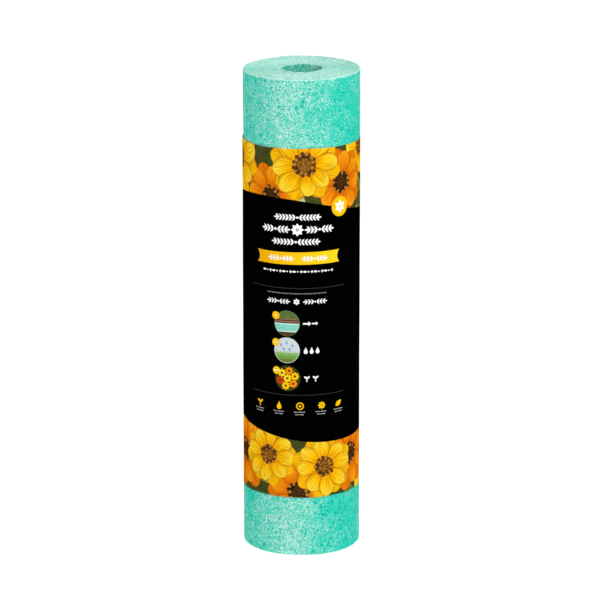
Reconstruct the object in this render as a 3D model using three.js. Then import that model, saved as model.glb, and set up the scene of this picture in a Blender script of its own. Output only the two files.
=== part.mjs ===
// A roll of seeded mulch mat stood on its end, with a printed band wrapped round it.
// Millimetres, +Z up. The origin is the middle of the roll's lower end.
// The band's lapped seam is at the back, at +Y.
import * as THREE from "three";

// The mat, one long strip wound on itself with no core tube
const MAT_WIDTH = 609.6; // the strip's width, which is the roll's height
const MAT_THICKNESS = 2.44; // a turn's thickness as wound
const TURNS = 20;
const BORE_RADIUS = 24;
const GROOVE_WIDTH = 0.9; // between the rounded edges of two turns, on the roll's ends
const GROOVE_DEPTH = 1.1;
const RIM_ROUNDING = 1.4; // of the outermost turn's edge
const BORE_ROUNDING = 0.8; // of the innermost turn's edge

// The printed band, one sheet wrapped round the roll and stuck down where it laps itself
const BAND_HEIGHT = 445;
const BAND_BOTTOM = 77.5; // above the roll's lower end
const BAND_THICKNESS = 0.4;
const BAND_CLEARANCE = 0.3; // between the mat and the band
const LAP_LENGTH = 20; // how far the band's outer end runs past its inner end
const LAP_RAMP = 6; // where the sheet climbs over its own inner end

const SIDES = 36; // flats on every round surface

const rollRadius = BORE_RADIUS + TURNS * MAT_THICKNESS;
const bandInnerRadius = rollRadius + BAND_CLEARANCE;
const bandOuterRadius = bandInnerRadius + BAND_THICKNESS;

const MAT_COLOUR = 0x7fdcc4;
const BAND_COLOUR = 0x0b0b0c;

// The profile of one end, from the bore outwards: a flat land for each turn and a groove between two.
// height is the end's level, and inward is 1 or -1, the way into the roll along its axis.
function endProfile(height, inward) {
  const points = [new THREE.Vector2(BORE_RADIUS, height + inward * BORE_ROUNDING)];
  points.push(new THREE.Vector2(BORE_RADIUS + BORE_ROUNDING, height));
  for (let turn = 1; turn < TURNS; turn += 1) {
    const joint = BORE_RADIUS + turn * MAT_THICKNESS;
    points.push(new THREE.Vector2(joint - GROOVE_WIDTH / 2, height));
    points.push(new THREE.Vector2(joint, height + inward * GROOVE_DEPTH));
    points.push(new THREE.Vector2(joint + GROOVE_WIDTH / 2, height));
  }
  points.push(new THREE.Vector2(rollRadius - RIM_ROUNDING, height));
  points.push(new THREE.Vector2(rollRadius, height + inward * RIM_ROUNDING));
  return points;
}

// The wound mat is one turned solid.
// Its profile runs out along the lower end, up the side, back along the upper end and down the bore.
function makeRoll() {
  const lower = endProfile(0, 1);
  const upper = endProfile(MAT_WIDTH, -1).reverse();
  const geometry = new THREE.LatheGeometry([...lower, ...upper, lower[0]], SIDES);
  geometry.rotateX(Math.PI / 2); // a lathe turns about +Y, and the roll stands along +Z
  return geometry;
}

// A point of the band's section at an angle about the roll's axis
function onCircle(radius, angle) {
  return new THREE.Vector2(radius * Math.cos(angle), radius * Math.sin(angle));
}

// The angles of the roll's own corners, so that the band's flats lie along the roll's
function cornerAngles() {
  return Array.from({ length: SIDES }, (_, i) => (i * 2 * Math.PI) / SIDES);
}

// The outside of the band's section: one thickness all round, and two where the sheet laps itself.
function bandOutline() {
  const seam = Math.PI / 2; // the sheet's outer end, at the back
  const lapStart = seam - LAP_LENGTH / bandOuterRadius;
  const rampStart = lapStart - LAP_RAMP / bandOuterRadius;
  const lapRadius = bandOuterRadius + BAND_THICKNESS;
  const outline = [];
  for (const angle of cornerAngles()) {
    if (angle < rampStart || angle > seam) outline.push([angle, bandOuterRadius]);
    else if (angle > lapStart && angle < seam) outline.push([angle, lapRadius]);
  }
  outline.push([rampStart, bandOuterRadius], [lapStart, lapRadius]);
  outline.sort((a, b) => a[0] - b[0]);
  const afterSeam = outline.findIndex(([angle]) => angle > seam);
  outline.splice(afterSeam, 0, [seam, lapRadius], [seam, bandOuterRadius]);
  return outline.map(([angle, radius]) => onCircle(radius, angle));
}

function makeBand() {
  const section = new THREE.Shape(bandOutline());
  section.holes.push(new THREE.Path(cornerAngles().map((angle) => onCircle(bandInnerRadius, angle))));
  return new THREE.ExtrudeGeometry(section, { depth: BAND_HEIGHT, bevelEnabled: false });
}

function makePiece(name, geometry, color, roughness) {
  const mesh = new THREE.Mesh(geometry, new THREE.MeshStandardMaterial({ color, roughness, metalness: 0 }));
  mesh.name = name;
  return mesh;
}

const seedMat = makePiece("seed_mat_roll", makeRoll(), MAT_COLOUR, 0.95);
const band = makePiece("printed_wrap_band", makeBand(), BAND_COLOUR, 0.4);
band.position.z = BAND_BOTTOM;

const roll = new THREE.Group();
roll.add(seedMat, band);

export default roll;
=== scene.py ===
"""A roll of seeded fibre mat with a printed wrap band: the finished surfaces around the fixed CAD frame.

Metres, +Z up. A place on the roll is an azimuth, 0 at the front (-Y) and growing towards +X, and a height.
The printed band is laid out in millimetres: u runs round it from its front's middle, and z is its height.
"""

import math

import bpy
import numpy as np
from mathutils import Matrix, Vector
from mathutils.geometry import delaunay_2d_cdt


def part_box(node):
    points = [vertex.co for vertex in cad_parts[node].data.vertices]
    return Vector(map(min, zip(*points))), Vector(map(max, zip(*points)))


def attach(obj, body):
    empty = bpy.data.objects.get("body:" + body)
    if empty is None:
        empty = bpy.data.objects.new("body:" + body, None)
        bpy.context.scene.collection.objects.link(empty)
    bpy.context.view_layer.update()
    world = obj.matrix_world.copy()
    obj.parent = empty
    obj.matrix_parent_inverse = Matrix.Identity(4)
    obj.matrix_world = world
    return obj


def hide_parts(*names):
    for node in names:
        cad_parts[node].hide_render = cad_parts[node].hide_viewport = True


TAU = 2 * math.pi
MM = 0.001

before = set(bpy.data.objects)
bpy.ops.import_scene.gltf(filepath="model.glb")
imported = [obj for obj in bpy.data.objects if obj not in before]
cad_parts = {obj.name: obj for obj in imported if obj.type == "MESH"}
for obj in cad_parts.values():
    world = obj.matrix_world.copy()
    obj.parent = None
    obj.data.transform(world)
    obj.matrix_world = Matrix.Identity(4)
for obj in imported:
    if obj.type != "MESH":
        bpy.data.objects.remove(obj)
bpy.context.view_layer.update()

# Sizes from the frame
ROLL_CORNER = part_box("seed_mat_roll")[1]
BAND_FOOT, BAND_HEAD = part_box("printed_wrap_band")
HEIGHT = ROLL_CORNER.z
RADIUS = ROLL_CORNER.x
BAND_LOW, BAND_TOP = BAND_FOOT.z, BAND_HEAD.z
BAND_RADIUS = BAND_HEAD.x

# The wound mat
BORE_RADIUS = 24 * MM
TURNS = 19
COLUMNS = 268  # steps in one turn of the winding
INNER_END = math.radians(36)  # azimuth of the mat's inner end, in the bore
END_OVERLAP = 123  # steps that the outer end lies past the inner end's azimuth
STEPS = TURNS * COLUMNS + END_OVERLAP
OUTER_END = INNER_END + TAU * END_OVERLAP / COLUMNS
END_STEP = 1.3 * MM  # the mat's thickness at its torn outer end
END_TAPER = 24  # steps over which it thins to that
GROOVE = 1.5 * MM  # depth between two turns on the roll's ends
# The lines along a turn's edge, each with its share of the thickness, of GROOVE and of END_PALE
CROWN = ((0.0, 1.0, 0.0), (0.27, 0.3, 0.7), (0.5, 0.0, 1.0), (0.73, 0.3, 0.7))
EDGE_WANDER = {"upper": 1.2 * MM, "lower": 0.5 * MM}  # how far inside the roll's end a turn's edge may stray
ROUGH_EDGE = 0.1 * MM
WINDING_JITTER = 0.2 * MM  # of the line between two turns
STRAY_REACH = 6 * MM  # how far down a wall the stray edge still shows
BORE_OVAL = 0.4 * MM
BORE_OFF = 1.9 * MM  # how far the bore lies off the roll's axis, towards +X
FLAP = 1.0 * MM  # how far the mat's loose inner end swells into the bore
FLAP_SHARE = 0.13  # of a turn, over which it swells
BORE_SEEN = 40 * MM  # the part of the bore's wall that shows from outside
ROUNDING = {"upper": 1.1 * MM, "lower": 3 * MM}  # of the outermost edge, more where the roll stands
ROW = 1.2 * MM  # height of a row of faces where the mat is bare
HIDDEN_ROWS = 14
BULGE = {"upper": 0.05 * MM, "lower": 0.75 * MM}  # how far the mat swells where the band doesn't hold it
BULGE_REACH = 5 * MM
BAND_CLEAR = 1.2 * MM  # the mat stays this far inside the band's outer face
BAND_HOLD = 1.3 * MM  # how far past the band's edges it does so, as the finished sheet runs a little over
HOLD_EASE = 2 * MM  # how much further out the mat may be once it is clear of them
END_PALE, GROOVE_PALE, RIM_HIGHLIGHT_PALE = 1.0, 0.05, 1.0
RIM_HIGHLIGHT_REACH = 1.9 * MM  # how far down the side the upper rim's painted highlight shows: the rounded upper rim is made pale where it would catch the light
BORE_PALE, BORE_LEAN = 0.46, 0.22  # paleness of the bore's wall, raised above the mat's own as painted light against the shade in the bore, and how much more of it on the +X side
END_BLOTCH = 0.12  # how strongly dark blotches mark the ends, against 1 on the sides
STRAND_LENGTH = (2.0 * MM, 6.5 * MM)
STRAND_WIDTH = (0.6 * MM, 1.35 * MM)
STRAND_HEIGHT = (0.06 * MM, 0.22 * MM)
STRAND_ROOT = 0.15 * MM  # a strand's feet are this deep in the mat
END_STRAND_LENGTH = (1.5 * MM, 4.5 * MM)
END_STRAND_WIDTH = (0.35 * MM, 0.8 * MM)
END_STRAND_HEIGHT = (0.05 * MM, 0.16 * MM)
END_STRAND_DEPTH = 0.1 * MM  # how far below the highest edge of its turn a strand lies
SIDE_STRANDS = 15800
UPPER_END_STRANDS, LOWER_END_STRANDS = 6000, 3600

# Colours as they look, 0 to 255
TEAL = (0, 208, 183)
DEEP_TEAL = (0, 188, 160)
PALE_MINT = (208, 240, 230)

# Where the mat is paler round the roll: azimuth and half width in degrees, and strength. The lobe just left
# of the front is paler dye and painted sheen together, the two narrow lobes at the sides are painted sheen on
# the grazing edges, and the two at the back are paler dye.
PALE_DYE_AND_SHEEN = ((-14, 25, 0.49), (-86, 15, 0.22), (90, 9, 0.22), (150, 30, 0.45), (235, 22, 0.30))


def linear(colour):
    """A colour from 0 to 255 as it looks, in the linear values that a shader takes."""
    c = np.asarray(colour, float) / 255
    return np.where(c <= 0.04045, c / 12.92, ((c + 0.055) / 1.055) ** 2.4)


def rgba(colour):
    return (*linear(colour), 1.0)


def smooth(x):
    """0 to 1 with a soft start and end."""
    x = np.clip(x, 0, 1)
    return x * x * (3 - 2 * x)


def around(radius, azimuth, z):
    """Points of the roll as an array of x, y, z."""
    return np.stack([radius * np.sin(azimuth), -radius * np.cos(azimuth), z + 0 * azimuth], -1)


class Lattice:
    """Smooth noise from -1 to 1 over azimuth and height, with one random value for each cell."""

    def __init__(self, seed, cell, radius=RADIUS, height=HEIGHT):
        self.columns = max(4, round(TAU * radius / cell))
        self.cell, self.rows = cell, int(height / cell) + 3
        self.values = np.random.default_rng(seed).uniform(-1, 1, (self.rows + 1, self.columns))

    def __call__(self, azimuth, z):
        x = azimuth / TAU * self.columns
        y = np.clip(z / self.cell + 1, 0, self.rows - 1)
        i, j = np.floor(x).astype(int), np.floor(y).astype(int)
        fx, fy = smooth(x - i), smooth(y - j)
        left, right, v = i % self.columns, (i + 1) % self.columns, self.values
        low = v[j, left] * (1 - fx) + v[j, right] * fx
        high = v[j + 1, left] * (1 - fx) + v[j + 1, right] * fx
        return low * (1 - fy) + high * fy


LUMPS = [
    (Lattice(11, 17 * MM), 0.30 * MM),
    (Lattice(12, 6 * MM), 0.2 * MM),
    (Lattice(13, 2.6 * MM), 0.14 * MM),
]
DYE = [(Lattice(14, 21 * MM), 0.10), (Lattice(15, 8 * MM), 0.14)]


def relief(azimuth, z):
    """How far the mat's outer surface stands out at a place."""
    return sum(height * lattice(azimuth, z) for lattice, height in LUMPS)


def paleness(azimuth, z):
    """How pale the mat is at a place, from 0 to 1: the lobes' paler dye and painted sheen, and random dye."""
    degrees = np.degrees(azimuth)
    total = 0 * degrees
    for middle, width, strength in PALE_DYE_AND_SHEEN:
        off = (degrees - middle + 180) % 360 - 180
        total = total + strength * np.exp(-0.5 * (off / width) ** 2)
    return np.clip(total + sum(share * lattice(azimuth, z) for lattice, share in DYE), 0, 1)


def outer_radius(azimuth):
    """The mat's outer surface: the last turn climbs over the torn end of the mat."""
    past_end = ((azimuth - OUTER_END) / TAU) % 1.0
    past_end = np.where(past_end < 1e-9, 1.0, past_end)
    return RADIUS - END_STEP * (1 - past_end)


def bulge(z):
    """How far the mat swells at a height, above or below the printed band."""
    off_band = np.maximum(BAND_LOW - z, z - BAND_TOP)
    return np.where(z > HEIGHT / 2, BULGE["upper"], BULGE["lower"]) * smooth(off_band / BULGE_REACH)


def held_in(radius, z):
    """A radius of the mat's surface, no further out than the printed band lets it be at that height."""
    off_band = np.maximum(BAND_LOW - z, z - BAND_TOP)
    ease = HOLD_EASE * smooth((off_band - BAND_HOLD) / BULGE_REACH)
    return np.minimum(radius, BAND_RADIUS - BAND_CLEAR + ease)


def skin(azimuth, z):
    """The mat's finished outer surface."""
    return held_in(outer_radius(azimuth) + bulge(z) + relief(azimuth, z), z)


def add_mesh(name, points, faces, material, corner_uvs=None, point_values=None, smooth_faces=True):
    """A mesh object from arrays, with its bake map and any values that its material reads."""
    mesh = bpy.data.meshes.new(name)
    mesh.from_pydata(np.asarray(points).tolist(), [], faces)
    if corner_uvs is not None:
        layer = mesh.uv_layers.new(name="OFBake")
        layer.data.foreach_set("uv", np.asarray(corner_uvs, np.float32).ravel())
    for label, values in (point_values or {}).items():
        attribute = mesh.attributes.new(label, "FLOAT", "POINT")
        attribute.data.foreach_set("value", np.asarray(values, np.float32))
    mesh.polygons.foreach_set("use_smooth", [smooth_faces] * len(mesh.polygons))
    mesh.materials.append(material)
    mesh.update()
    piece = bpy.data.objects.new(name, mesh)
    bpy.context.scene.collection.objects.link(piece)
    return piece


# Shader nodes


class Nodes:
    """A material's node tree, with short calls for the nodes used here."""

    def __init__(self, name):
        self.material = bpy.data.materials.new(name)
        self.material.use_nodes = True
        self.tree = self.material.node_tree
        self.shader = self.tree.nodes["Principled BSDF"]

    def add(self, kind, inputs=None, **settings):
        node = self.tree.nodes.new(kind)
        for key, value in settings.items():
            setattr(node, key, value)
        for key, value in (inputs or {}).items():
            self.put(node.inputs[key], value)
        return node

    def put(self, socket, value):
        if isinstance(value, bpy.types.NodeSocket):
            self.tree.links.new(value, socket)
        else:
            socket.default_value = value

    def math(self, operation, a, b=0.0, clamp=False):
        return self.add("ShaderNodeMath", {0: a, 1: b}, operation=operation, use_clamp=clamp).outputs[0]

    def stretch(self, value, low, high, to_low=0.0, to_high=1.0):
        inputs = {"Value": value, "From Min": low, "From Max": high, "To Min": to_low, "To Max": to_high}
        return self.add("ShaderNodeMapRange", inputs, interpolation_type="SMOOTHSTEP").outputs["Result"]

    def noise(self, vector, scale, detail=2.0, roughness=0.5, distortion=0.0):
        inputs = {"Vector": vector, "Scale": scale, "Detail": detail}
        inputs.update({"Roughness": roughness, "Distortion": distortion})
        return self.add("ShaderNodeTexNoise", inputs).outputs["Fac"]

    def mix(self, share, a, b):
        node = self.add("ShaderNodeMix", data_type="RGBA")
        self.put(node.inputs["Factor"], share)
        self.put(node.inputs[6], a)
        self.put(node.inputs[7], b)
        return node.outputs[2]

    def bump(self, height, strength, distance, normal=None):
        inputs = {"Height": height, "Strength": strength, "Distance": distance}
        if normal is not None:
            inputs["Normal"] = normal
        return self.add("ShaderNodeBump", inputs).outputs["Normal"]


def felt_material(name, strands):
    """Matted fibre: teal ground, paler threads, darker pits. A strand's paleness comes with its mesh."""
    n = Nodes(name)
    place = n.add("ShaderNodeTexCoord").outputs["Object"]
    # pale carries the mat's paleness from its mesh: dye, with painted sheen on the sides, a painted highlight
    # on the upper rim and painted light in the bore.
    pale = n.add("ShaderNodeAttribute", attribute_name="pale").outputs["Fac"]
    wander = n.noise(place, 300, 3, 0.6, 1.6)
    threads = n.noise(place, 540, 3, 0.7, 0.8)
    lines = n.stretch(threads, 0.40, 0.60, -0.6, 0.5)
    blotch = n.add("ShaderNodeAttribute", attribute_name="blotch").outputs["Fac"]
    swing = n.math("ADD", 0.3, n.math("MULTIPLY", pale, 0.9 if strands else 1.4))
    swing = n.math("MULTIPLY", swing, n.stretch(blotch, 0.0, 1.0, 0.4, 1.0))
    share = n.math("ADD", pale, n.math("MULTIPLY", lines, swing))
    pits = n.math("MULTIPLY", blotch, n.stretch(n.noise(place, 260, 2, 0.5, 0.2), 0.57, 0.66))
    share = n.math("SUBTRACT", share, n.math("MULTIPLY", pits, 0.45), clamp=True)
    ground = n.mix(pits, rgba(TEAL), rgba(DEEP_TEAL))
    n.put(n.shader.inputs["Base Color"], n.mix(share, ground, rgba(PALE_MINT)))
    fine = n.noise(place, 1500, 3, 0.7, 0.5)
    coarse = n.noise(place, 480, 3, 0.6, 2.0)
    normal = n.bump(coarse, 0.2, 0.4 * MM)
    n.put(n.shader.inputs["Normal"], n.bump(fine, 0.2, 0.2 * MM, normal))
    n.put(n.shader.inputs["Roughness"], n.stretch(wander, 0.3, 0.7, 0.82, 1.0))
    n.shader.inputs["Specular IOR Level"].default_value = 0.1
    return n.material


# The wound mat


class Winding:
    """The mat as a spiral strip: the place and thickness of each of its steps, on both ends of the roll."""

    def __init__(self):
        step = np.arange(STEPS + 1)
        column = step % COLUMNS
        beyond = column / COLUMNS  # share of a turn past the inner end's azimuth
        self.azimuth = INNER_END + TAU * step / COLUMNS
        strips = (STEPS - column) // COLUMNS + 1
        bore = BORE_RADIUS + (RADIUS - BORE_RADIUS) / (TURNS + 1.5) * beyond
        bore = bore + BORE_OVAL * np.cos(2 * self.azimuth) + BORE_OFF * np.sin(self.azimuth)
        outermost = (strips - 1) * COLUMNS + column
        taper = smooth(1 - (STEPS - outermost) / END_TAPER)
        thickness = (outer_radius(self.azimuth) - bore - END_STEP * taper) / (strips - taper)
        flap = FLAP * smooth(1 - step / COLUMNS / FLAP_SHARE)
        self.radius = bore + step // COLUMNS * thickness - flap
        own = np.where(step == outermost, taper, 0.0)
        self.thickness = thickness * (1 - own) + END_STEP * own + flap
        self.strays = {end: self.wander(seed, end) for end, seed in (("upper", 21), ("lower", 22))}
        self.jitter = WINDING_JITTER * self.along_strip(23, 50)

    def along_strip(self, seed, cells_a_turn):
        """Smooth noise from -1 to 1 along the strip."""
        cells = int((TURNS + 1) * cells_a_turn) + 2
        values = np.random.default_rng(seed).uniform(-1, 1, cells)
        x = np.arange(STEPS + 1) / COLUMNS * cells_a_turn
        i = x.astype(int)
        return values[i] + (values[i + 1] - values[i]) * smooth(x - i)

    def wander(self, seed, end):
        """How far the strip's edge lies inside the roll's end."""
        slow, quick = self.along_strip(seed, 3), self.along_strip(seed + 10, 24)
        inside = smooth((RADIUS - self.radius) / (4 * self.thickness))  # the outermost turn lies level
        return EDGE_WANDER[end] * (0.5 + (0.3 * slow + 0.2 * quick) * (0.3 + 0.7 * inside))


def end_points(winding, end):
    """One end's points, CROWN's lines for each step and then the outer rim: radius, azimuth and depth."""
    rng = np.random.default_rng(31 if end == "upper" else 32)
    stray, rounding = winding.strays[end], ROUNDING[end]

    def pared(inside):
        """How deep the rounded edge is, at a distance inside the outer surface."""
        return rounding - np.sqrt(rounding**2 - np.clip(rounding - inside, 0, rounding) ** 2)

    edge = outer_radius(winding.azimuth) + BULGE[end]
    lines = []
    for share, deep, _ in CROWN:
        r = winding.radius + share * winding.thickness + winding.jitter * (1 if share else 0.6)
        depth = GROOVE * deep + stray + rng.normal(0, ROUGH_EDGE, STEPS + 1) + pared(edge - r)
        lines.append(np.stack([r, winding.azimuth, depth], -1))
    rim = np.arange(STEPS - COLUMNS + 1, STEPS + 1)
    inside = 0.06 * rounding
    rim_points = np.stack([edge[rim] - inside, winding.azimuth[rim], pared(inside) + stray[rim]], -1)
    return np.concatenate([np.stack(lines, 1).reshape(-1, 3), rim_points])


def line_index(step, line):
    """The number of an end's point. The line after CROWN's last is shared with the turn outside."""
    lines = len(CROWN)
    rim = (STEPS + 1) * lines + step - (STEPS - COLUMNS + 1)
    outside = np.where(step + COLUMNS <= STEPS, (step + COLUMNS) * lines, rim)
    return np.where(line < lines, step * lines + np.minimum(line, lines - 1), outside)


def end_faces():
    """The quads of one end, seen from outside at the top."""
    step = np.repeat(np.arange(STEPS), len(CROWN))
    line = np.tile(np.arange(len(CROWN)), STEPS)
    corners = ((step, line), (step, line + 1), (step + 1, line + 1), (step + 1, line))
    return np.stack([line_index(*corner) for corner in corners], -1)


def loop_steps(loop):
    """The step of the winding that each point of a wall's loop belongs to."""
    on_rim = STEPS - COLUMNS + 1 + loop - (STEPS + 1) * len(CROWN)
    return np.where(on_rim > STEPS - COLUMNS, on_rim, loop // len(CROWN))


def wall_loops():
    """The points of an end that the outer wall and the bore's wall hang from, each a closed loop."""
    lines = len(CROWN)
    rim_steps = np.arange(STEPS - COLUMNS + 1, STEPS + 1)
    outer = [line_index(np.array(STEPS), 0), *line_index(rim_steps, np.full(COLUMNS, lines))]
    outer += [line_index(np.array(STEPS), line) for line in range(lines - 1, 0, -1)]
    bore = [*line_index(np.arange(COLUMNS + 1), 0)]
    bore += [line_index(np.array(0), line) for line in range(lines - 1, 0, -1)]
    return np.array(outer, int), np.array(bore, int)


def wall_heights(low, high, rows_low, rows_high, rows_between):
    """Heights of a wall's rows: close together where it is bare, and few where the band hides it."""
    foot = np.linspace(ROUNDING["lower"], low, rows_low)
    between = np.linspace(low, high, rows_between + 2)[1:-1]
    head = np.linspace(high, HEIGHT - 1.8 * ROUNDING["upper"], rows_high)
    return np.concatenate([[0.0], foot, between, head, [HEIGHT]])


def outer_wall(loop, rows):
    """The radius of the outer wall on each row, for the points of its loop."""
    z = rows[:, None]
    azimuth = loop[None, :, 1] + 0 * z
    on_end = np.arange(len(loop)) > COLUMNS  # the mat's torn end, a step between the last two turns
    on_end[0] = True
    from_rim = np.minimum(z - ROUNDING["lower"], HEIGHT - z)
    edge = outer_radius(azimuth) + bulge(z)
    wall = edge + (skin(azimuth, z + 0 * azimuth) - edge) * smooth(from_rim / (4 * MM))
    wall = np.where(on_end, loop[:, 0], wall) - 0.1 * MM * (from_rim < 1 * MM)
    return held_in(wall, z)


def bore_wall(loop, rows):
    azimuth = loop[None, :, 1] + 0 * rows[:, None]
    return loop[:, 0] + 0.8 * relief(azimuth, rows[:, None] + 0 * azimuth)


def make_mat(winding, material):
    ends = {end: end_points(winding, end) for end in ("upper", "lower")}
    count = len(ends["upper"])
    points = [around(*ends["upper"][:, :2].T, HEIGHT - ends["upper"][:, 2])]
    points.append(around(*ends["lower"][:, :2].T, ends["lower"][:, 2]))
    faces = [end_faces(), end_faces()[:, ::-1] + count]
    uvs = [end_uvs(points[0], faces[0], 0), end_uvs(points[1], faces[1] - count, 1)]
    bare_rows = int(BAND_LOW / ROW), int((HEIGHT - BAND_TOP) / ROW)
    outer_rows = wall_heights(BAND_LOW, BAND_TOP, *bare_rows, HIDDEN_ROWS)
    bore_rows = wall_heights(BORE_SEEN, HEIGHT - BORE_SEEN, 12, 12, 16)
    walls = zip(wall_loops(), (outer_rows, bore_rows), (outer_wall, bore_wall))
    total = 2 * count
    for loop, rows, radius_of in walls:
        # A row's height follows the stray edge near each end and is level between.
        near = np.exp(-np.minimum(rows, HEIGHT - rows) / STRAY_REACH)[:, None]
        shifts = {end: winding.strays[end][loop_steps(loop)] for end in ends}
        down = np.where(rows[:, None] > HEIGHT / 2, -shifts["upper"], shifts["lower"])
        z = rows[:, None] + near * down
        inner_rows = slice(1, -1)
        grid = around(radius_of(ends["upper"][loop], rows), ends["upper"][loop, 1] + 0 * z, z)[inner_rows]
        points.append(grid.reshape(-1, 3))
        number = total + np.arange(grid.shape[0] * len(loop)).reshape(-1, len(loop))
        ladder = np.concatenate([(loop + count)[None, :], number, loop[None, :]])
        beside = np.roll(ladder, -1, axis=1)
        quads = np.stack([ladder[:-1], beside[:-1], beside[1:], ladder[1:]], -1).reshape(-1, 4)
        is_outer = radius_of is outer_wall
        faces.append(quads if is_outer else quads[:, ::-1])
        uvs.append(wall_uvs(rows, len(loop), is_outer))
        total += number.size
    points = np.concatenate(points)
    values = mat_values(points, count, (len(bore_rows) - 2) * len(wall_loops()[1]))
    faces = np.concatenate(faces).tolist()
    return add_mesh("wound_seed_mat", points, faces, material, np.concatenate(uvs), values)


def mat_values(points, end_count, bore_count):
    """The paleness and the strength of dark blotches at each of the mat's points."""
    azimuth = np.arctan2(points[:, 0], -points[:, 1])
    pale = paleness(azimuth, points[:, 2])
    # Painted highlight along the upper rim: paler, and without dark blotches, where the rounded edge would
    # catch the light.
    rim = smooth(1 - (HEIGHT - points[:, 2]) / RIM_HIGHLIGHT_REACH)
    pale += (RIM_HIGHLIGHT_PALE - pale) * rim
    blotch = 1 - rim
    dye = sum(share * lattice(azimuth, 5 * points[:, 1] + 0.3) for lattice, share in DYE)
    of_crown = np.concatenate([np.tile([tone for *_, tone in CROWN], STEPS + 1), np.ones(COLUMNS)])
    ends = slice(0, 2 * end_count)
    on_end = GROOVE_PALE + (END_PALE - GROOVE_PALE) * np.tile(of_crown, 2) + 0.4 * dye[ends]
    # The side's paleness, its dye and painted sheen, runs on round the foot's rounded edge.
    inside = outer_radius(azimuth[ends]) + BULGE["lower"] - np.hypot(*points[ends, :2].T)
    share = np.where(points[ends, 2] > HEIGHT / 2, 1.0, smooth(inside / (1.3 * ROUNDING["lower"])))
    pale[ends] += (on_end - pale[ends]) * share
    blotch[ends] += (END_BLOTCH - blotch[ends]) * share
    # The bore's wall: its paleness raised as painted light against the shade in the bore, more on the +X
    # side, with random dye.
    pale[-bore_count:] = (BORE_PALE + BORE_LEAN * np.sin(azimuth) + dye)[-bore_count:]
    return {"pale": pale, "blotch": blotch}


DISC_MAP = 0.36  # side of an end's square on the bake map


def end_uvs(points, faces, number):
    """An end's disc on the bake map."""
    flat = points[:, :2] / (2.04 * RADIUS) + 0.5
    return flat[faces.ravel()] * DISC_MAP + [0.01 + number * 0.38, 0.22]


def wall_uvs(rows, size, is_outer):
    """A wall on the bake map: the outer one's bare bands large, and what the printed band hides small."""
    if is_outer:
        v = np.interp(rows, [0, BAND_LOW, BAND_TOP, HEIGHT], [0.60, 0.79, 0.80, 1.0])
    else:
        v = np.interp(rows, [0, HEIGHT], [0.02, 0.20])
    across = np.arange(size + 1) / size
    low, high = v[:-1, None], v[1:, None]
    left, right = across[None, :-1], across[None, 1:]
    corners = ((left, low), (right, low), (right, high), (left, high))
    grid = np.stack([np.stack(np.broadcast_arrays(x, y), -1) for x, y in corners], 2)
    quads = grid.reshape(-1, 4, 2)
    return (quads if is_outer else quads[:, ::-1]).reshape(-1, 2)


# Loose strands on the mat's skin

STRAND_RINGS = 2
STRAND_POINTS = 3 * STRAND_RINGS + 2


def strand_template():
    """One strand's triangles and their corners on its own cell of the bake map.

    Its points are a tip, the rings of left foot, ridge and right foot, and the other tip.
    """
    last = STRAND_POINTS - 1
    places = {0: 0.02, last: 0.98}
    faces, corners = [], []
    lanes = ((0, 1), (1, 2), (2, 0))  # left side, right side and underside
    for lane, (a, b) in enumerate(lanes):
        low, high = lane / 3 + 0.03, (lane + 1) / 3 - 0.03
        first, final = 1, 1 + 3 * (STRAND_RINGS - 1)
        faces.append((0, first + b, first + a))
        corners.append(((places[0], (low + high) / 2), (0.2, high), (0.2, low)))
        for ring in range(STRAND_RINGS - 1):
            base = 1 + 3 * ring
            x0, x1 = (0.2 + 0.6 * i / (STRAND_RINGS - 1) for i in (ring, ring + 1))
            faces.append((base + a, base + b, base + 3 + b))
            corners.append(((x0, low), (x0, high), (x1, high)))
            faces.append((base + a, base + 3 + b, base + 3 + a))
            corners.append(((x0, low), (x1, high), (x1, low)))
        faces.append((last, final + a, final + b))
        corners.append(((places[last], (low + high) / 2), (0.8, low), (0.8, high)))
    return np.array(faces), np.array(corners)


def strand_mesh(name, centre_lines, side, normal, width, height, pale, blotch, material):
    """Joins flat, pointed strands into one mesh. centre_lines holds each strand's points from tip to tip."""
    count = len(centre_lines)
    points = np.empty((count, STRAND_POINTS, 3))
    points[:, 0], points[:, -1] = centre_lines[:, 0], centre_lines[:, -1]
    for ring in range(STRAND_RINGS):
        middle, across, up = centre_lines[:, ring + 1], side[:, ring + 1], normal[:, ring + 1]
        half = across * (width / 2)[:, None]
        foot = up * STRAND_ROOT
        points[:, 3 * ring + 1] = middle - half - foot
        points[:, 3 * ring + 2] = middle + up * height[:, None]
        points[:, 3 * ring + 3] = middle + half - foot
    template, corners = strand_template()
    faces = (template[None] + np.arange(count)[:, None, None] * STRAND_POINTS).reshape(-1, 3).tolist()
    cells = math.ceil(math.sqrt(count))
    cell = np.stack([np.arange(count) % cells, np.arange(count) // cells], -1)
    uvs = (corners[None] + cell[:, None, None, :]) / cells
    values = {"pale": np.repeat(pale, STRAND_POINTS), "blotch": np.full(count * STRAND_POINTS, blotch)}
    return add_mesh(name, points.reshape(-1, 3), faces, material, uvs.reshape(-1, 2), values)


def strand_tone(base, rng):
    """A strand's paleness: a pale thread or a dyed one, the paler sort more often where the mat's paleness,
    dye and painted sheen together, is high.
    """
    is_pale = rng.random(len(base)) < 0.045 + 0.95 * base
    dyed = rng.uniform(0.0, 0.1, len(base)) + 0.36 * base
    return np.where(is_pale, rng.uniform(0.55, 1.0, len(base)), dyed)


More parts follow.
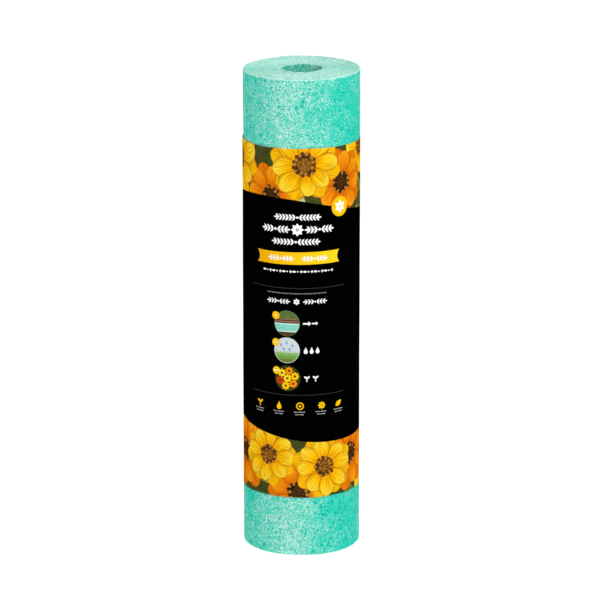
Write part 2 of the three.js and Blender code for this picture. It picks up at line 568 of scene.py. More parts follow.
def side_strands(name, low, high, count, seed, material):
    """Strands on a bare stretch of the roll's side."""
    rng = np.random.default_rng(seed)
    along = np.linspace(-0.5, 0.5, STRAND_RINGS + 2)
    azimuth, z = rng.uniform(0, TAU, count), rng.uniform(low, high, count)
    turn = rng.uniform(0, math.pi, count)
    length = rng.uniform(*STRAND_LENGTH, count)
    bend = rng.uniform(-0.9, 0.9, count)
    heading = turn[:, None] + bend[:, None] * along * 2
    step = length[:, None] / len(along)
    across_move, up_move = step * np.cos(heading), step * np.sin(heading)
    u = np.cumsum(across_move, 1) - across_move.sum(1, keepdims=True) / 2
    h = np.cumsum(up_move, 1) - up_move.sum(1, keepdims=True) / 2
    path_azimuth = azimuth[:, None] + u / RADIUS
    reach = np.abs(h).max(1)
    path_z = np.clip(z, low + reach, high - reach)[:, None] + h
    surface = skin(path_azimuth, path_z)
    normal = around(np.ones_like(path_azimuth), path_azimuth, 0.0)
    tangent = around(np.ones_like(path_azimuth), path_azimuth + math.pi / 2, 0.0)
    side = tangent * np.sin(heading)[..., None] - np.array([0, 0, 1]) * np.cos(heading)[..., None]
    lines = around(surface, path_azimuth, path_z)
    # The strands follow the mat's paleness, its painted sheen included.
    pale = strand_tone(paleness(azimuth, z), rng)
    width, height = rng.uniform(*STRAND_WIDTH, count), rng.uniform(*STRAND_HEIGHT, count)
    return strand_mesh(name, lines, side, normal, width, height, pale, 1.0, material)


def end_strands(name, winding, end, count, seed, material):
    """Short cut fibres on the turns' edges at one end."""
    rng = np.random.default_rng(seed)
    along = np.linspace(-0.5, 0.5, STRAND_RINGS + 2)
    outermost = outer_radius(winding.azimuth) - winding.radius
    chance = winding.radius * (outermost > ROUNDING[end])
    chance = chance / chance.sum()
    step = rng.choice(STEPS + 1, count, p=chance)
    share = rng.uniform(0.3, 0.7, count)
    radius = winding.radius[step] + share * winding.thickness[step]
    azimuth = winding.azimuth[step]
    middle = around(radius, azimuth, 0.0)
    heading = azimuth + rng.normal(0, 0.25, count)
    length = rng.uniform(*END_STRAND_LENGTH, count)
    forward = around(np.ones(count), heading + math.pi / 2, 0.0)
    inward = around(np.ones(count), heading, 0.0)
    bow = (along**2 - 0.1)[None, :, None] * (length / 2 * rng.uniform(-1, 1, count))[:, None, None]
    lines = middle[:, None] + forward[:, None] * (length[:, None] * along)[..., None] + inward[:, None] * bow
    up = 1 if end == "upper" else -1
    level = winding.strays[end][step] + END_STRAND_DEPTH
    lines[..., 2] = (HEIGHT - level if up > 0 else level)[:, None]
    side = np.repeat(inward[:, None] * up, len(along), 1)
    normal = np.broadcast_to(np.array([0, 0, up]), lines.shape)
    pale = strand_tone(np.full(count, END_PALE), rng)
    width, height = rng.uniform(*END_STRAND_WIDTH, count), rng.uniform(*END_STRAND_HEIGHT, count)
    return strand_mesh(name, lines, side, normal, width, height, pale, END_BLOTCH, material)


# The printed band, in millimetres

BAND_SKIN = 0.25  # the sheet's thickness
BAND_RIPPLE = 0.12
BAND_INSET = 0.42  # the finished band lies this far inside the frame's
EDGE_WOBBLE, EDGE_OVER = 0.3, 0.7  # how far the sheet's ends wave, and how far they run past the frame's
LAP_FOOT, LAP_START = math.radians(159.7), math.radians(164.4)  # azimuths where the outer end climbs and laps
BAND_TURN = TAU * BAND_RADIUS / MM  # once round the band
SHEET_LEFT, SHEET_RIGHT = BAND_TURN * (LAP_START / TAU - 1), BAND_TURN / 2
SHEET_FOOT, SHEET_HEAD = BAND_LOW / MM, BAND_TOP / MM
GRID = 4.4  # spacing of the points that bend the sheet round

# Inks, as they look
WHITE, PAPER, BLACK = (250, 250, 248), (236, 233, 226), (2, 2, 2)
PALE_GREY, GREY, RULE_GREY = (188, 188, 188), (128, 128, 128), (46, 46, 48)
GOLD, SUN, AMBER, RUST = (253, 196, 14), (255, 214, 36), (245, 142, 14), (196, 84, 10)
UMBER, BARK, OCHRE = (58, 34, 18), (92, 56, 24), (176, 118, 40)
OLIVE, MOSS, FERN, SAGE = (74, 84, 34), (52, 66, 26), (112, 126, 52), (178, 184, 128)
SOIL, MINT = (92, 62, 40), (140, 222, 204)
RUST_SHADE, SPECK = (150, 58, 4), (30, 18, 10)


def anticlockwise(outline):
    x, y = outline.T
    area = np.sum(x * np.roll(y, -1) - np.roll(x, -1) * y)
    return outline if area > 0 else outline[::-1]


class Shape:
    """One printed shape: an outline, its colours and how strongly veins and speckle mark it.

    colours run from its foot to its tip. local gives a point's place across (-1 to 1) and along (0 to 1).
    """

    def __init__(self, outline, *colours, local=None, vein=0.0, speckle=0.0, number=0):
        self.outline, self.local = anticlockwise(np.asarray(outline, float)), local
        self.colours, self.vein, self.speckle, self.number = linear(np.array(colours)), vein, speckle, number

    def shifted(self, du):
        """The same shape further round the band."""
        local = self.local and (lambda p, f=self.local: f(p - [du, 0]))
        marks = {"vein": self.vein, "speckle": self.speckle, "number": self.number}
        copy = Shape(self.outline + [du, 0], WHITE, local=local, **marks)
        copy.colours = self.colours
        return copy

    def paint(self, points):
        """Colour, vein strength and speckle, and vein place at each of the points."""
        across, along = self.local(points) if self.local else np.zeros((2, len(points)))
        stops = np.linspace(0, 1, len(self.colours))
        colour = np.stack([np.interp(along, stops, channel) for channel in self.colours.T], -1)
        place = np.stack([across, along + 3.0 * self.number], -1)
        ink = np.column_stack([colour, np.full(len(points), self.vein)])
        return ink, np.full(len(points), self.speckle), place


def turned(points, angle, u, z):
    """Points turned by an angle in degrees and moved to (u, z)."""
    c, s = math.cos(math.radians(angle)), math.sin(math.radians(angle))
    return np.asarray(points, float) @ np.array([[c, s], [-s, c]]) + [u, z]


def ring_points(radius, count=None, squash=1.0):
    a = np.linspace(0, TAU, count or max(10, int(6 * math.sqrt(radius))), endpoint=False)
    return np.stack([radius * np.cos(a), squash * radius * np.sin(a)], -1)


def dot(u, z, radius, *colours, count=None, **marks):
    return Shape(ring_points(radius, count) + [u, z], *colours, **marks)


def bar(u0, z0, u1, z1, *colours, **marks):
    """An upright rectangle with a point every few millimetres along its level sides."""
    count = max(2, int((u1 - u0) / GRID) + 2)
    level = np.linspace(u0, u1, count)
    outline = [(u, z0) for u in level] + [(u, z1) for u in level[::-1]]
    return Shape(outline, *colours, **marks)


def leaf(u, z, length, width, angle, *colours, vein=0.5, number=0):
    """A pointed leaf from its foot at (u, z)."""
    x = np.array([0.0, 0.12, 0.28, 0.45, 0.62, 0.8, 0.92, 1.0])
    half = width / 2 * np.sin(math.pi * x**0.85)
    outline = np.concatenate([np.stack([x, half], -1), np.stack([x, -half], -1)[-2:0:-1]])
    outline[:, 0] *= length

    def local(points):
        own = turned(points - [u, z], -angle, 0, 0)
        along = np.clip(own[:, 0] / length, 0, 1)
        return np.clip(own[:, 1] / (width / 2), -1, 1), along

    return Shape(turned(outline, angle, u, z), *colours, local=local, vein=vein, number=number)


def petal(u, z, inner, outer, width, angle, bend, colours, number):
    """A broad petal with a round tip, on a blossom centred at (u, z)."""
    x = np.array([0, 0.08, 0.2, 0.34, 0.48, 0.62, 0.74, 0.84, 0.91, 0.96, 0.99, 1.0])

    def half(x):
        return width / 2 * np.sqrt(np.maximum(np.sin(math.pi * x**1.45), 0)) + 0.3 * (1 - x)

    span = outer - inner
    sides = [np.stack([inner + span * x, bend * x * x + sign * half(x)], -1) for sign in (1, -1)]
    outline = np.concatenate([sides[0], sides[1][-2::-1]])

    def local(points):
        own = turned(points - [u, z], -angle, 0, 0)
        along = np.clip((own[:, 0] - inner) / span, 0, 1)
        return np.clip((own[:, 1] - bend * along**2) / np.maximum(half(along), 0.5), -1, 1), along

    return Shape(turned(outline, angle, u, z), *colours, local=local, vein=1.0, number=number)


def blossom(u, z, radius, kind, rng, petals=8):
    """A round open flower: two rings of broad petals and a speckled centre."""
    shade, bright, (rim, heart) = kind
    eye = 0.3 * radius
    shapes = []
    start = rng.uniform(0, 360 / petals)
    for ring, (colours, reach) in enumerate(((shade, 1.0), (bright, 0.9))):
        for i in range(petals):
            angle = start + 360 / petals * (i + 0.5 * ring) + rng.uniform(-5, 5)
            outer = radius * reach * rng.uniform(0.92, 1.04)
            width = 2.4 * math.pi * radius / petals * rng.uniform(0.74, 0.86)
            bend = radius * rng.uniform(-0.08, 0.08)
            number = int(rng.integers(1, 500))
            shapes.append(petal(u, z, 0.6 * eye, outer, 0.72 * width, angle, bend, colours, number))
    shapes.append(dot(u, z, eye, rim, speckle=1.0, count=28))
    shapes.append(dot(u, z, 0.62 * eye, heart, speckle=1.0, count=20))
    for i in range(22):
        a, r = TAU * i / 22 + rng.uniform(-0.1, 0.1), eye * rng.uniform(0.72, 1.02)
        tone = OCHRE if i % 2 else rim
        shapes.append(dot(u + r * math.cos(a), z + r * math.sin(a), 0.055 * radius, tone, count=6))
    return shapes


# The kinds of blossom: colours of the back petals, of the front petals and of the centre
ORANGE_BLOSSOM = (
    (RUST, (222, 108, 10), (238, 128, 10)),
    ((206, 86, 6), AMBER, (255, 168, 30)),
    (UMBER, BARK),
)
YELLOW_BLOSSOM = (
    ((224, 130, 4), (246, 176, 10), GOLD),
    ((238, 148, 6), (255, 200, 16), (255, 224, 60)),
    (BARK, OCHRE),
)

# The floral strips: place, radius and kind of each blossom
UPPER_BLOSSOMS = (
    (98, 516, 40, YELLOW_BLOSSOM), (-40, 462, 42, ORANGE_BLOSSOM), (168, 466, 46, ORANGE_BLOSSOM),
    (232, 508, 48, YELLOW_BLOSSOM), (-172, 462, 50, ORANGE_BLOSSOM), (-112, 500, 52, YELLOW_BLOSSOM),
    (54, 478, 44, ORANGE_BLOSSOM), (4, 503, 47, YELLOW_BLOSSOM),
)
LOWER_BLOSSOMS = (
    (-4, 84, 44, ORANGE_BLOSSOM), (-150, 92, 46, ORANGE_BLOSSOM), (128, 88, 50, YELLOW_BLOSSOM),
    (186, 132, 44, ORANGE_BLOSSOM), (-206, 128, 44, YELLOW_BLOSSOM), (-92, 126, 50, ORANGE_BLOSSOM),
    (72, 126, 46, ORANGE_BLOSSOM), (-44, 130, 40, YELLOW_BLOSSOM), (30, 116, 42, YELLOW_BLOSSOM),
)


def foliage(low, high, rng):
    """Leaves scattered over a floral strip's ground."""
    shapes = []
    for _ in range(150):
        u, z = rng.uniform(SHEET_LEFT, SHEET_RIGHT), rng.uniform(low, high)
        length = rng.uniform(12, 34)
        tone = (FERN, MOSS, SAGE, (92, 104, 42), (40, 52, 24))[rng.choice(5, p=(0.3, 0.25, 0.1, 0.2, 0.15))]
        tip = tuple(min(255, c + 24) for c in tone)
        angle, number = rng.uniform(0, 360), int(rng.integers(1, 500))
        shapes.append(leaf(u, z, length, 0.36 * length, angle, tone, tip, number=number))
    return shapes


def panel_edge(u, level, swell, crest, small_swell, small_crest):
    """A gently waving edge of the black panel."""
    a = TAU / BAND_TURN
    return level + swell * np.cos(a * (u - crest)) + small_swell * np.cos(2 * a * (u - small_crest))


def black_panel():
    u = np.linspace(SHEET_LEFT - 2, SHEET_RIGHT + 2, 120)
    top = panel_edge(u, 448.9, 12.5, -77.6, 2.5, -8.5)
    foot = panel_edge(u, 158.0, 10.8, -159.8, 1.5, 111.9)
    outline = np.concatenate([np.stack([u, foot], -1), np.stack([u, top], -1)[::-1]])
    return [Shape(outline, BLACK)]


def garland(u0, u1, z, height, colour):
    """A level twig with a bud in the middle and pairs of leaves that point away from it."""
    middle, half = (u0 + u1) / 2, (u1 - u0) / 2
    shapes = [bar(u0, z - 0.04 * height, u1, z + 0.04 * height, colour)]
    shapes.append(dot(middle, z, 0.17 * height, colour))
    pairs = max(1, round((half - 0.5 * height) / (0.5 * height)))
    step = (half - 0.55 * height) / pairs
    for side in (1, -1):
        for i in range(pairs):
            foot = middle + side * (0.22 * height + step * (i + 0.2))
            for lean in (48, -48):
                angle = lean if side > 0 else 180 - lean
                shapes.append(leaf(foot, z, 0.62 * height, 0.25 * height, angle, colour, vein=0))
        tip = middle + side * (half - 0.5 * height)
        shapes.append(leaf(tip, z, 0.55 * height, 0.27 * height, 0 if side > 0 else 180, colour, vein=0))
    return shapes


def ornament(u, z, radius, colour, ground, petals=6):
    """A plain flower mark."""
    shapes = []
    for i in range(petals):
        shapes.append(leaf(u, z, radius, 0.62 * radius, 90 + 360 / petals * i, colour, vein=0))
    return shapes + [dot(u, z, 0.24 * radius, ground), dot(u, z, 0.13 * radius, colour)]


def title_block():
    """Three rows of white ornament, the middle one with a flower."""
    top, middle, foot = 437, 421.5, 406
    shapes = garland(-35, 25, top, 9, WHITE)
    shapes += garland(-52, -14, middle, 10, WHITE) + garland(4, 42, middle, 10, WHITE)
    return shapes + ornament(-5, middle, 8.2, WHITE, BLACK, 8) + garland(-38, 24, foot, 9, WHITE)


def ribbon():
    """A golden ribbon with hollowed ends and two white twigs."""
    left, right, bow = -60.1, 50.7, 3.1
    z = np.linspace(0, 1, 9)
    hollow = bow * (1 - (2 * z - 1) ** 2)
    right_side = np.stack([right - hollow, 377.7 + 15.8 * z], -1)
    left_side = np.stack([left + hollow, 376.8 + 15.6 * z], -1)
    top = np.stack([np.linspace(right, left, 28), np.linspace(393.5, 392.4, 28)], -1)[1:-1]
    foot = np.stack([np.linspace(left, right, 28), np.linspace(376.8, 377.7, 28)], -1)[1:-1]

    def local(points):
        return 0 * points[:, 0], np.clip((points[:, 0] - left) / (right - left), 0, 1)

    outline = np.concatenate([foot, right_side, top, left_side[::-1]])
    shapes = [Shape(outline, (240, 172, 14), (253, 200, 22), (255, 214, 32), local=local)]
    return shapes + garland(-43, -9, 384.8, 8, WHITE) + garland(0, 34, 384.8, 8, WHITE)


def small_marks(u0, u1, z, height, colour, pitch):
    """A row of small leaves, dots and crosses."""
    shapes = []
    for i, u in enumerate(np.arange(u0 + pitch / 2, u1, pitch)):
        if i % 3 == 0:
            shapes.append(leaf(u - height / 2, z, height * 1.1, height * 0.6, 0, colour, vein=0))
        elif i % 3 == 1:
            shapes.append(dot(u, z, 0.22 * height, colour, count=8))
        else:
            thin = 0.12 * height
            shapes.append(bar(u - height / 2.6, z - thin, u + height / 2.6, z + thin, colour))
            shapes.append(bar(u - thin, z - height / 2.6, u + thin, z + height / 2.6, colour))
    return shapes


def dashes(u0, u1, z, height, colour):
    """A broken line of short dashes of changing length."""
    shapes, u, i = [], u0, 0
    while u < u1 - 1:
        length = min((3.1, 1.9, 4.2, 2.4)[i % 4], u1 - u)
        shapes.append(bar(u, z - height / 4, u + length, z + height / 4, colour))
        u, i = u + length + 0.8, i + 1
    return shapes


def sprout(u, z, size, colour):
    """A stem with two leaves."""
    stem = 0.07 * size
    shapes = [bar(u - stem, z - size / 2, u + stem, z + 0.12 * size, colour)]
    for angle in (38, 142):
        shapes.append(leaf(u, z, 0.56 * size, 0.3 * size, angle, colour, vein=0))
    return shapes


def drop(u, z, size, colour):
    a = np.linspace(-215, 35, 14)
    bowl = np.stack([0.3 * np.cos(np.radians(a)), 0.3 * np.sin(np.radians(a)) - 0.2], -1)
    return [Shape(np.concatenate([bowl, [(0, 0.5)]]) * size + [u, z], colour)]


def arrow(u, z, size, colour):
    half, head, shaft = size / 2, 0.32 * size, 0.1 * size
    tip = (u + half, z)
    outline = [(u - half, z - shaft), (u + half - head, z - shaft), (u + half - head, z - head), tip]
    outline += [(u + half - head, z + head), (u + half - head, z + shaft), (u - half, z + shaft)]
    return [Shape(outline, colour)]


def levels(u, z, radius, *bands):
    """The level bands of a round picture, from the top: each has its upper edge and its colour.

    An edge is a share of the radius, and a band ends at the upper edge of the next one.
    """
    own = 0.96 * radius

    def chord(height):
        half = own * math.sqrt(1 - height**2)
        across = np.linspace(half, -half, int(2 * half / GRID) + 2)
        return np.stack([across, np.full(len(across), own * height)], -1)

    shapes = []
    lows = [height for height, _ in bands[1:]] + [-0.999]
    for (high, colour), low in zip(bands, lows):
        turn = np.linspace(math.asin(low), math.asin(high), 10)[1:-1]
        right, left = (own * np.stack([side * np.cos(turn), np.sin(turn)], -1) for side in (1, -1))
        outline = np.concatenate([right, chord(high), left[::-1], chord(low)[::-1]])
        shapes.append(Shape(outline + [u, z], colour, speckle=0.12))
    return shapes


def sown(u, z, radius):
    """Furrows of soil with a strip of mint mat over them and grass behind."""
    dark_soil, light_soil, mat_edge = (84, 56, 38), (142, 106, 82), (214, 243, 234)
    furrows = [(0.38, light_soil), (0.28, dark_soil), (0.2, light_soil), (0.08, dark_soil)]
    shapes = [dot(u, z, radius, (96, 118, 62), count=36, speckle=0.3)]
    cover = [(0.0, mat_edge), (-0.07, MINT), (-0.62, mat_edge), (-0.69, dark_soil)]
    shapes += levels(u, z, radius, *furrows, *cover)
    for row, level in enumerate((-0.2, -0.35, -0.5)):
        for i in range(-4, 5):
            offset = 0.2 * (i + 0.5 * (row % 2))
            if math.hypot(offset, level) < 0.86:
                shapes.append(dot(u + offset * radius, z + level * radius, 0.035 * radius, SOIL, count=6))
    return shapes


def watered(u, z, radius):
    """Rain drops over rows of grass."""
    pale_grass, grass = (142, 184, 104), (108, 164, 74)
    shapes = [dot(u, z, radius, (206, 214, 220), count=36)]
    shapes += levels(u, z, radius, (-0.2, pale_grass), (-0.45, grass), (-0.7, FERN))
    for row, tone in ((-0.24, pale_grass), (-0.48, grass)):
        for i in range(-5, 6):
            foot = 0.16 * i
            if math.hypot(foot, row) < 0.84:
                place = (u + foot * radius, z + row * radius)
                shapes.append(leaf(*place, 0.22 * radius, 0.08 * radius, 90 - 3 * i, tone, vein=0))
    for i, j in ((-1, 0.42), (0, 0.6), (1, 0.42), (-0.5, 0.12), (0.5, 0.12)):
        shapes += drop(u + 0.45 * radius * i, z + radius * j, 0.3 * radius, (120, 168, 200))
    return shapes


def flowered(u, z, radius):
    """Small blossoms close together."""
    shapes = [dot(u, z, radius, MOSS, count=36, speckle=0.3)]
    tones = (GOLD, AMBER, SUN, (206, 60, 20))
    for i in range(7):
        reach, turn = (0.0, 0.0) if i == 6 else (0.6, TAU * i / 6 + 0.3)
        place = (u + reach * radius * math.cos(turn), z + reach * radius * math.sin(turn))
        shapes += ornament(*place, 0.35 * radius, tones[i % 4] if i < 6 else SUN, UMBER, 8)
        shapes.append(dot(*place, 0.1 * radius, BARK, count=10))
    return shapes


STEPS_SHOWN = ((-18.3, 302.0, sown), (-18.4, 267.5, watered), (-17.5, 231.5, flowered))


def steps_column():
    """Three round pictures one above the other, each with counting pips on its badge and a mark beside it."""
    shapes = []
    for number, (u, z, picture) in enumerate(STEPS_SHOWN, 1):
        shapes += picture(u, z, 16.5)
        shapes.append(dot(u - 14.4, z + 9.3, 5.0, GOLD, count=20))
        for i in range(number):
            shapes.append(dot(u - 14.4 + 2.5 * (i - (number - 1) / 2), z + 9.3, 0.95, WHITE, count=8))
        if picture is sown:
            shapes += arrow(7, z, 10, WHITE) + arrow(17, z, 8, WHITE)
        elif picture is watered:
            shapes += drop(5.5, z, 8.5, WHITE) + drop(13, z, 8.5, WHITE) + drop(20.5, z, 8.5, WHITE)
        else:
            shapes += sprout(7, z, 8.5, WHITE) + sprout(18, z, 8.5, WHITE)
    return shapes


def icon_row():
    """Five golden marks with a short grey line under each."""
    shapes = []
    z = 196

    def ring(u):
        return [dot(u, z, 4.9, GOLD, count=20), dot(u, z, 3.5, BLACK, count=16), dot(u, z, 1.6, GOLD)]

    marks = (
        lambda u: sprout(u, z, 10, GOLD),
        lambda u: drop(u, z, 10.5, GOLD),
        ring,
        lambda u: ornament(u, z, 5.2, GOLD, BLACK, 8),
        lambda u: [leaf(u - 4.6, z - 3.6, 11, 6.4, 38, GOLD, vein=0)],
    )
    for u, mark in zip((-57, -28.5, -1.7, 26, 50.7), marks):
        shapes += mark(u)
        for level, half in ((188.2, 7.8), (185.0, 6.0)):
            shapes += dashes(u - half, u + half, level, 1.7, PALE_GREY)
    return shapes


def back_field(middle, rows):
    """A framed field on the back of the label, with rows of marks."""
    half, low, high, line = 34, 205, 405, 0.8
    frame_sides = ((-half, low, half, low + line), (-half, high - line, half, high))
    uprights = ((-half, low, line - half, high), (half - line, low, half, high))
    shapes = [bar(middle + a, b, middle + c, d, GREY) for a, b, c, d in frame_sides + uprights]
    pitch = (high - low) / (rows + 1)
    for row in range(1, rows + 1):
        z = high - pitch * row
        shapes.append(dot(middle - 24, z, 5.2, GOLD, count=18))
        shapes += ornament(middle - 24, z, 3.6, WHITE, GOLD)
        for i, share in enumerate((1.0, 0.86, 0.6)):
            level = z + 4.6 - 4.6 * i
            shapes += dashes(middle - 14, middle - 14 + 40 * share, level, 1.9, PALE_GREY)
    return shapes + garland(middle - 26, middle + 26, high + 14, 8, WHITE)


def front_print():
    shapes = [dot(51.8, 447.3, 12.6, GOLD, count=36), *ornament(51.8, 447.3, 8.4, WHITE, GOLD)]
    shapes += title_block() + ribbon() + small_marks(-51, 42, 368.4, 4.5, WHITE, 4.43)
    shapes.append(bar(-70, 346.5, 59, 347.5, RULE_GREY))
    shapes += dashes(-45, 33, 340.4, 2.4, GREY) + garland(-45, -14, 330, 7, WHITE)
    shapes += garland(2, 33, 330, 7, WHITE) + ornament(-6, 330, 4.4, WHITE, BLACK)
    shapes += steps_column()
    shapes.append(bar(-71, 209.5, 59, 210.5, RULE_GREY))
    return shapes + icon_row()


def print_shapes():
    """Every printed shape from the sheet's ground up."""
    rng = np.random.default_rng(71)
    level = np.linspace(SHEET_LEFT, SHEET_RIGHT, 160)
    upright = np.linspace(SHEET_FOOT, SHEET_HEAD, 90)[1:-1]
    ground = [(u, SHEET_FOOT) for u in level] + [(SHEET_RIGHT, z) for z in upright]
    ground += [(u, SHEET_HEAD) for u in level[::-1]] + [(SHEET_LEFT, z) for z in upright[::-1]]
    shapes = [Shape(ground, OLIVE, speckle=0.6)]
    shapes += foliage(440, SHEET_HEAD, rng) + foliage(SHEET_FOOT, 164, rng)
    for u, z, radius, kind in UPPER_BLOSSOMS + LOWER_BLOSSOMS:
        flower = blossom(u, z, radius, kind, rng)
        for turn in (-BAND_TURN, 0, BAND_TURN):
            if SHEET_LEFT - radius < u + turn < SHEET_RIGHT + radius:
                shapes += [shape.shifted(turn) for shape in flower] if turn else flower
    return shapes + black_panel() + front_print() + back_field(165, 4) + back_field(-150, 5)


def cut_sheet(shapes):
    """Cuts the sheet along every printed outline: its points, its triangles and the topmost shape on each."""
    points, outlines = [], []
    for shape in shapes:
        outlines.append(range(len(points), len(points) + len(shape.outline)))
        points += shape.outline.tolist()
    rows = np.arange(SHEET_FOOT + GRID, SHEET_HEAD - GRID / 2, 1.5 * GRID)
    for i, z in enumerate(rows):
        first = SHEET_LEFT + GRID * (1.0 if i % 2 else 0.5)
        points += [(u, z) for u in np.arange(first, SHEET_RIGHT - GRID / 3, GRID)]
    made = delaunay_2d_cdt([Vector(p) for p in points], [], outlines, 0, 0.01)
    inside = [i for i, origins in enumerate(made[5]) if 0 in origins]
    faces = np.array([made[2][i] for i in inside])
    topmost = np.array([max(made[5][i]) for i in inside])
    used, faces = np.unique(faces, return_inverse=True)
    return np.array([tuple(p) for p in made[0]])[used], faces.reshape(-1, 3), topmost


def wrap(points, depth):
    """Bends the flat sheet round the roll, depth millimetres inside its outer face."""
    azimuth = points[:, 0] * MM / BAND_RADIUS
    lap = smooth((azimuth - LAP_FOOT) / (LAP_START - LAP_FOOT))
    ripple = BAND_RIPPLE * np.sin(azimuth * 5 + points[:, 1] / 38) * np.sin(points[:, 1] / 61 + 1.1)
    end = np.minimum(points[:, 1] - SHEET_FOOT, SHEET_HEAD - points[:, 1])
    wobble = EDGE_WOBBLE * np.sin(azimuth * 3 + 0.8) * np.sin(azimuth * 7) * smooth(1 - end / 20)
    radius = BAND_RADIUS - (BAND_INSET + BAND_RIPPLE + depth - (BAND_SKIN + 0.1) * lap - ripple) * MM
    outward = np.where(points[:, 1] < 300, -1, 1) * (EDGE_OVER * smooth(1 - end / 20) + wobble)
    return around(radius, azimuth, (points[:, 1] + outward) * MM)


def band_material():
    """Printed film: the ink that the mesh carries, with veins and dark rims on petals and speckled hearts."""
    n = Nodes("printed_wrap_film")
    ink = n.add("ShaderNodeAttribute", attribute_name="ink")
    speckle = n.add("ShaderNodeAttribute", attribute_name="speckle").outputs["Fac"]
    place = n.add("ShaderNodeTexCoord").outputs["Object"]
    petal_place = n.add("ShaderNodeUVMap", uv_map="vein").outputs["UV"]
    drawn = n.add("ShaderNodeMapping", {"Vector": petal_place, "Scale": (7.0, 1.6, 1.0)}).outputs["Vector"]
    veins = n.stretch(n.noise(drawn, 1.0, 3, 0.55, 0.2), 0.40, 0.66)
    across = n.math("ABSOLUTE", n.add("ShaderNodeSeparateXYZ", {0: petal_place}).outputs["X"])
    rims = n.stretch(across, 0.62, 1.0)
    dark = n.math("ADD", n.math("MULTIPLY", veins, 0.42), n.math("MULTIPLY", rims, 0.45), clamp=True)
    dark = n.math("MULTIPLY", dark, ink.outputs["Alpha"])
    veined = n.mix(dark, ink.outputs["Color"], rgba(RUST_SHADE))
    grain = n.stretch(n.noise(place, 620, 3, 0.65, 0.4), 0.38, 0.64)
    speckled = n.mix(n.math("MULTIPLY", grain, speckle), veined, rgba(SPECK))
    n.put(n.shader.inputs["Base Color"], speckled)
    n.shader.inputs["Roughness"].default_value = 0.45
    n.shader.inputs["Specular IOR Level"].default_value = 0.0
    return n.material


def make_band():
    shapes = print_shapes()
    flat, faces, topmost = cut_sheet(shapes)
    count, total = len(flat), len(faces)
    colours = np.empty((total, 3, 4))
    speckles = np.empty((total, 3))
    places = np.empty((total, 3, 2))
    for index in np.unique(topmost):
        own = topmost == index
        colour, speckle, place = shapes[index].paint(flat[faces[own]].reshape(-1, 2))
        colours[own], speckles[own] = colour.reshape(-1, 3, 4), speckle.reshape(-1, 3)
        places[own] = place.reshape(-1, 3, 2)
    directed = np.concatenate([faces[:, [0, 1]], faces[:, [1, 2]], faces[:, [2, 0]]])
    keys = directed.min(1) * count + directed.max(1)
    _, first, uses = np.unique(keys, return_index=True, return_counts=True)
    a, b = directed[first[uses == 1]].T
    rim = np.concatenate([np.stack([b, a, a + count], -1), np.stack([b, a + count, b + count], -1)])
    every = np.concatenate([faces, faces[:, ::-1] + count, rim])
    points = np.concatenate([wrap(flat, 0.0), wrap(flat, BAND_SKIN)])
    low, high = np.array([SHEET_LEFT, SHEET_FOOT]), np.array([SHEET_RIGHT, SHEET_HEAD])
    share = (np.tile(flat, (2, 1)) - low) / (high - low)
    corner = share[every]
    corner[:total] = corner[:total] * [0.998, 0.95] + [0.001, 0.049]
    corner[total : 2 * total] = corner[total : 2 * total] * [0.998, 0.03] + [0.001, 0.001]
    corner[2 * total :] = corner[2 * total :] * [0.998, 0.004] + [0.001, 0.036]
    rest = len(every) - total
    paper = np.tile([*linear(PAPER), 0.0], (rest, 3, 1))
    band = add_mesh("printed_band", points, every.tolist(), band_material(), corner.reshape(-1, 2))
    mesh = band.data
    ink = mesh.attributes.new("ink", "FLOAT_COLOR", "CORNER")
    ink.data.foreach_set("color", np.concatenate([colours, paper]).astype(np.float32).ravel())
    speck = mesh.attributes.new("speckle", "FLOAT", "CORNER")
    speckles = np.concatenate([speckles, np.zeros((rest, 3))])
    speck.data.foreach_set("value", speckles.astype(np.float32).ravel())
    vein = mesh.uv_layers.new(name="vein")
    vein.data.foreach_set("uv", np.concatenate([places, np.zeros((rest, 3, 2))]).astype(np.float32).ravel())
    return band


# Camera, light and floor

SKY, FLOOR_GLOW = 0.47, 0.65
KEY_POWER, TOP_POWER = 19, 82
FLOOR_REACH = 40

# The camera: a place as shares of the roll's height, a tilt and a roll in degrees, and a lens in mm
LENS, SENSOR = 239.65, 36.0
CAMERA_BACK, CAMERA_UP = 7.8971, 2.6786
CAMERA_TILT, CAMERA_ROLL = 15.337, 0.02


def make_camera():
    """The photograph's view: a long lens from in front and a little above."""
    data = bpy.data.cameras.new("camera")
    data.sensor_width, data.lens = SENSOR, LENS
    data.clip_start, data.clip_end = 0.1, 100
    camera = bpy.data.objects.new("camera", data)
    camera.location = (0, -CAMERA_BACK * HEIGHT, CAMERA_UP * HEIGHT)
    camera.rotation_euler = (math.radians(90 - CAMERA_TILT), 0, math.radians(CAMERA_ROLL))
    bpy.context.scene.collection.objects.link(camera)
    bpy.context.scene.camera = camera


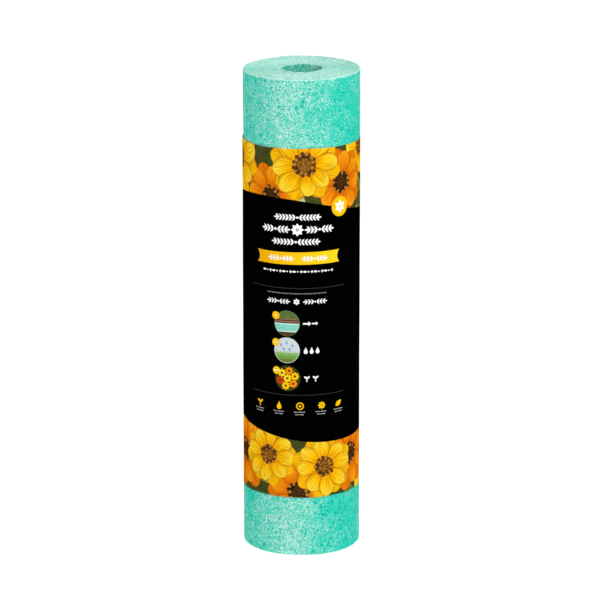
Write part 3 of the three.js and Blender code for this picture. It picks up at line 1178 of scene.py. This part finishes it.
def add_light(name, azimuth, elevation, distance, size, power):
    data = bpy.data.lights.new(name, "AREA")
    data.shape, data.size, data.energy = "DISK", size, power
    light = bpy.data.objects.new(name, data)
    a, e = math.radians(azimuth), math.radians(elevation)
    back = np.array([math.sin(a) * math.cos(e), -math.cos(a) * math.cos(e), math.sin(e)])
    light.location = back * distance + np.array([0, 0, HEIGHT / 2])
    light.rotation_euler = Vector(back).to_track_quat("Z", "Y").to_euler()
    bpy.context.scene.collection.objects.link(light)


def make_studio():
    n = Nodes("pale_floor")
    n.shader.inputs["Base Color"].default_value = (0.6, 0.6, 0.6, 1)
    n.shader.inputs["Roughness"].default_value = 0.9
    n.shader.inputs["Specular IOR Level"].default_value = 0.1
    n.shader.inputs["Emission Color"].default_value = (1, 1, 1, 1)
    n.shader.inputs["Emission Strength"].default_value = FLOOR_GLOW
    corners = [(FLOOR_REACH * x, FLOOR_REACH * y, 0) for x, y in ((-1, -1), (1, -1), (1, 1), (-1, 1))]
    floor = add_mesh("floor", corners, [(0, 1, 2, 3)], n.material, smooth_faces=False)
    world = bpy.data.worlds.new("studio")
    world.use_nodes = True
    world.node_tree.nodes["Background"].inputs["Color"].default_value = (1, 1, 1, 1)
    world.node_tree.nodes["Background"].inputs["Strength"].default_value = SKY
    bpy.context.scene.world = world
    add_light("key", 42, 35, 3.0, 1.8, KEY_POWER)
    add_light("top", 0, 76, 4.0, 1.9, TOP_POWER)
    bpy.context.scene.view_settings.view_transform = "Standard"


def dress(piece, slot, *nodes):
    """Ties a finished piece to the frame."""
    if nodes:
        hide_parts(*nodes)
    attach(piece, "root")


make_camera()
make_studio()
winding = Winding()
dress(make_mat(winding, felt_material("seed_mat_felt", False)), "mat", "seed_mat_roll")
dress(make_band(), "band", "printed_wrap_band")
strand_felt = felt_material("seed_mat_strands", True)
top_strands, foot_strands = (BAND_TOP, HEIGHT - RIM_HIGHLIGHT_REACH), (ROUNDING["lower"], BAND_LOW)
dress(side_strands("upper_side_strands", *top_strands, SIDE_STRANDS, 41, strand_felt), "mat")
dress(side_strands("lower_side_strands", *foot_strands, SIDE_STRANDS, 42, strand_felt), "mat")
dress(end_strands("upper_end_strands", winding, "upper", UPPER_END_STRANDS, 43, strand_felt), "mat")
dress(end_strands("lower_end_strands", winding, "lower", LOWER_END_STRANDS, 44, strand_felt), "mat")
